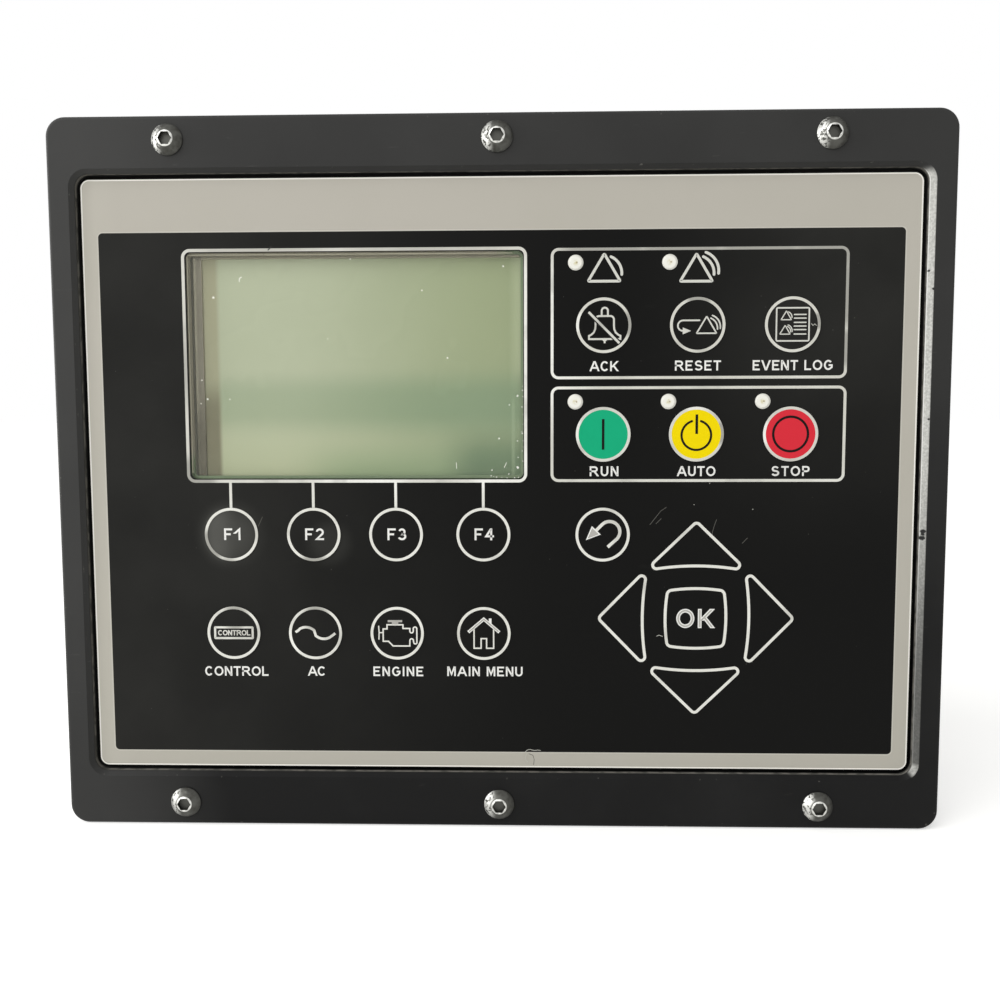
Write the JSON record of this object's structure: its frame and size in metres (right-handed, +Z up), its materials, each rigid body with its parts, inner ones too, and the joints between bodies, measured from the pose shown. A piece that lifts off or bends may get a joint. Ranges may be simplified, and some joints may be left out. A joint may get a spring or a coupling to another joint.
{
  "type": "engine control module",
  "caption": "Panel-mounted engine and generator control module: grey and black membrane keypad with display window in a black frame, finned rear box with two harness connectors.",
  "frame": {"origin": "centre of the six fixing screws, on the rear face of the flange where the module seats on its panel", "axes": "+Y backwards through the panel, front faces -Y, +Z up, +X to the right seen from the front"},
  "size_m": [0.304, 0.0823, 0.244],
  "materials": {
    "powder_coat": "semi-gloss black powder coat",
    "printed_film": "satin polyester film",
    "clear_pane": "clear",
    "foam": "matt foam",
    "display_steel": "satin",
    "display_cell": "green-grey polariser",
    "light_guide": "milky",
    "board_laminate": "solder mask",
    "switch_plastic": "moulded",
    "lamp_lens": "milky",
    "lamp_body": "moulded",
    "key_plastic": "moulded",
    "gasket_rubber": "matt",
    "cast_aluminium": "as cast, blasted",
    "screw_steel": "plain steel",
    "ribbon_jacket": "extruded",
    "chip_plastic": "moulded",
    "relay_plastic": "moulded",
    "capacitor_sleeve": "shrink sleeve",
    "ferrite": "sintered",
    "connector_plastic": "glass-filled",
    "contact_plastic": "glass-filled",
    "contact_brass": "plated"
  },
  "bodies": {
    "module": {"bezel_frame": "powder_coat", "front_housing": "powder_coat", "overlay": "printed_film", "display_pane": "clear_pane", "display_gasket": "foam", "lcd_frame": "display_steel", "backup_cell": "display_steel", "lcd_cell": "display_cell", "backlight": "light_guide", "lcd_board": "board_laminate", "key_board": "board_laminate", "main_board": "board_laminate", "key_switches": "switch_plastic", "board_sockets": "switch_plastic", "cell_holder": "switch_plastic", "light_pipes": "lamp_lens", "status_leds": "lamp_body", "cover_gasket": "gasket_rubber", "header_seals": "gasket_rubber", "rear_cover": "cast_aluminium", "mounting_screws": "screw_steel", "cover_screws": "screw_steel", "board_screws": "screw_steel", "header_screws": "screw_steel", "ribbon_cables": "ribbon_jacket", "processor_chips": "chip_plastic", "relays": "relay_plastic", "capacitors": "capacitor_sleeve", "inductors": "ferrite", "header_shell_large": "connector_plastic", "header_shell_small": "connector_plastic", "contact_block_large": "contact_plastic", "contact_block_small": "contact_plastic", "contact_pins_large": "contact_brass", "contact_pins_small": "contact_brass", "jack_inserts": "contact_brass", "ground_stud": "contact_brass"},
    "ack_key": {"key_ack": "key_plastic"},
    "reset_key": {"key_reset": "key_plastic"},
    "log_key": {"key_log": "key_plastic"},
    "run_key": {"key_run": "key_plastic"},
    "auto_key": {"key_auto": "key_plastic"},
    "stop_key": {"key_stop": "key_plastic"},
    "f1_key": {"key_f1": "key_plastic"},
    "f2_key": {"key_f2": "key_plastic"},
    "f3_key": {"key_f3": "key_plastic"},
    "f4_key": {"key_f4": "key_plastic"},
    "control_key": {"key_control": "key_plastic"},
    "ac_key": {"key_ac": "key_plastic"},
    "engine_key": {"key_engine": "key_plastic"},
    "menu_key": {"key_menu": "key_plastic"},
    "back_key": {"key_back": "key_plastic"},
    "up_key": {"key_up": "key_plastic"},
    "down_key": {"key_down": "key_plastic"},
    "left_key": {"key_left": "key_plastic"},
    "right_key": {"key_right": "key_plastic"},
    "ok_key": {"key_ok": "key_plastic"}
  },
  "joints": [
    {"name": "ack_press", "type": "slide", "parent": "module", "child": "ack_key", "axis": [0, 1, 0], "range_m": [0, 0.00035], "stiffness_N_per_m": 6000},
    {"name": "reset_press", "type": "slide", "parent": "module", "child": "reset_key", "axis": [0, 1, 0], "range_m": [0, 0.00035], "stiffness_N_per_m": 6000},
    {"name": "log_press", "type": "slide", "parent": "module", "child": "log_key", "axis": [0, 1, 0], "range_m": [0, 0.00035], "stiffness_N_per_m": 6000},
    {"name": "run_press", "type": "slide", "parent": "module", "child": "run_key", "axis": [0, 1, 0], "range_m": [0, 0.00035], "stiffness_N_per_m": 6000},
    {"name": "auto_press", "type": "slide", "parent": "module", "child": "auto_key", "axis": [0, 1, 0], "range_m": [0, 0.00035], "stiffness_N_per_m": 6000},
    {"name": "stop_press", "type": "slide", "parent": "module", "child": "stop_key", "axis": [0, 1, 0], "range_m": [0, 0.00035], "stiffness_N_per_m": 6000},
    {"name": "f1_press", "type": "slide", "parent": "module", "child": "f1_key", "axis": [0, 1, 0], "range_m": [0, 0.00035], "stiffness_N_per_m": 6000},
    {"name": "f2_press", "type": "slide", "parent": "module", "child": "f2_key", "axis": [0, 1, 0], "range_m": [0, 0.00035], "stiffness_N_per_m": 6000},
    {"name": "f3_press", "type": "slide", "parent": "module", "child": "f3_key", "axis": [0, 1, 0], "range_m": [0, 0.00035], "stiffness_N_per_m": 6000},
    {"name": "f4_press", "type": "slide", "parent": "module", "child": "f4_key", "axis": [0, 1, 0], "range_m": [0, 0.00035], "stiffness_N_per_m": 6000},
    {"name": "control_press", "type": "slide", "parent": "module", "child": "control_key", "axis": [0, 1, 0], "range_m": [0, 0.00035], "stiffness_N_per_m": 6000},
    {"name": "ac_press", "type": "slide", "parent": "module", "child": "ac_key", "axis": [0, 1, 0], "range_m": [0, 0.00035], "stiffness_N_per_m": 6000},
    {"name": "engine_press", "type": "slide", "parent": "module", "child": "engine_key", "axis": [0, 1, 0], "range_m": [0, 0.00035], "stiffness_N_per_m": 6000},
    {"name": "menu_press", "type": "slide", "parent": "module", "child": "menu_key", "axis": [0, 1, 0], "range_m": [0, 0.00035], "stiffness_N_per_m": 6000},
    {"name": "back_press", "type": "slide", "parent": "module", "child": "back_key", "axis": [0, 1, 0], "range_m": [0, 0.00035], "stiffness_N_per_m": 6000},
    {"name": "up_press", "type": "slide", "parent": "module", "child": "up_key", "axis": [0, 1, 0], "range_m": [0, 0.00035], "stiffness_N_per_m": 6000},
    {"name": "down_press", "type": "slide", "parent": "module", "child": "down_key", "axis": [0, 1, 0], "range_m": [0, 0.00035], "stiffness_N_per_m": 6000},
    {"name": "left_press", "type": "slide", "parent": "module", "child": "left_key", "axis": [0, 1, 0], "range_m": [0, 0.00035], "stiffness_N_per_m": 6000},
    {"name": "right_press", "type": "slide", "parent": "module", "child": "right_key", "axis": [0, 1, 0], "range_m": [0, 0.00035], "stiffness_N_per_m": 6000},
    {"name": "ok_press", "type": "slide", "parent": "module", "child": "ok_key", "axis": [0, 1, 0], "range_m": [0, 0.00035], "stiffness_N_per_m": 6000}
  ]
}
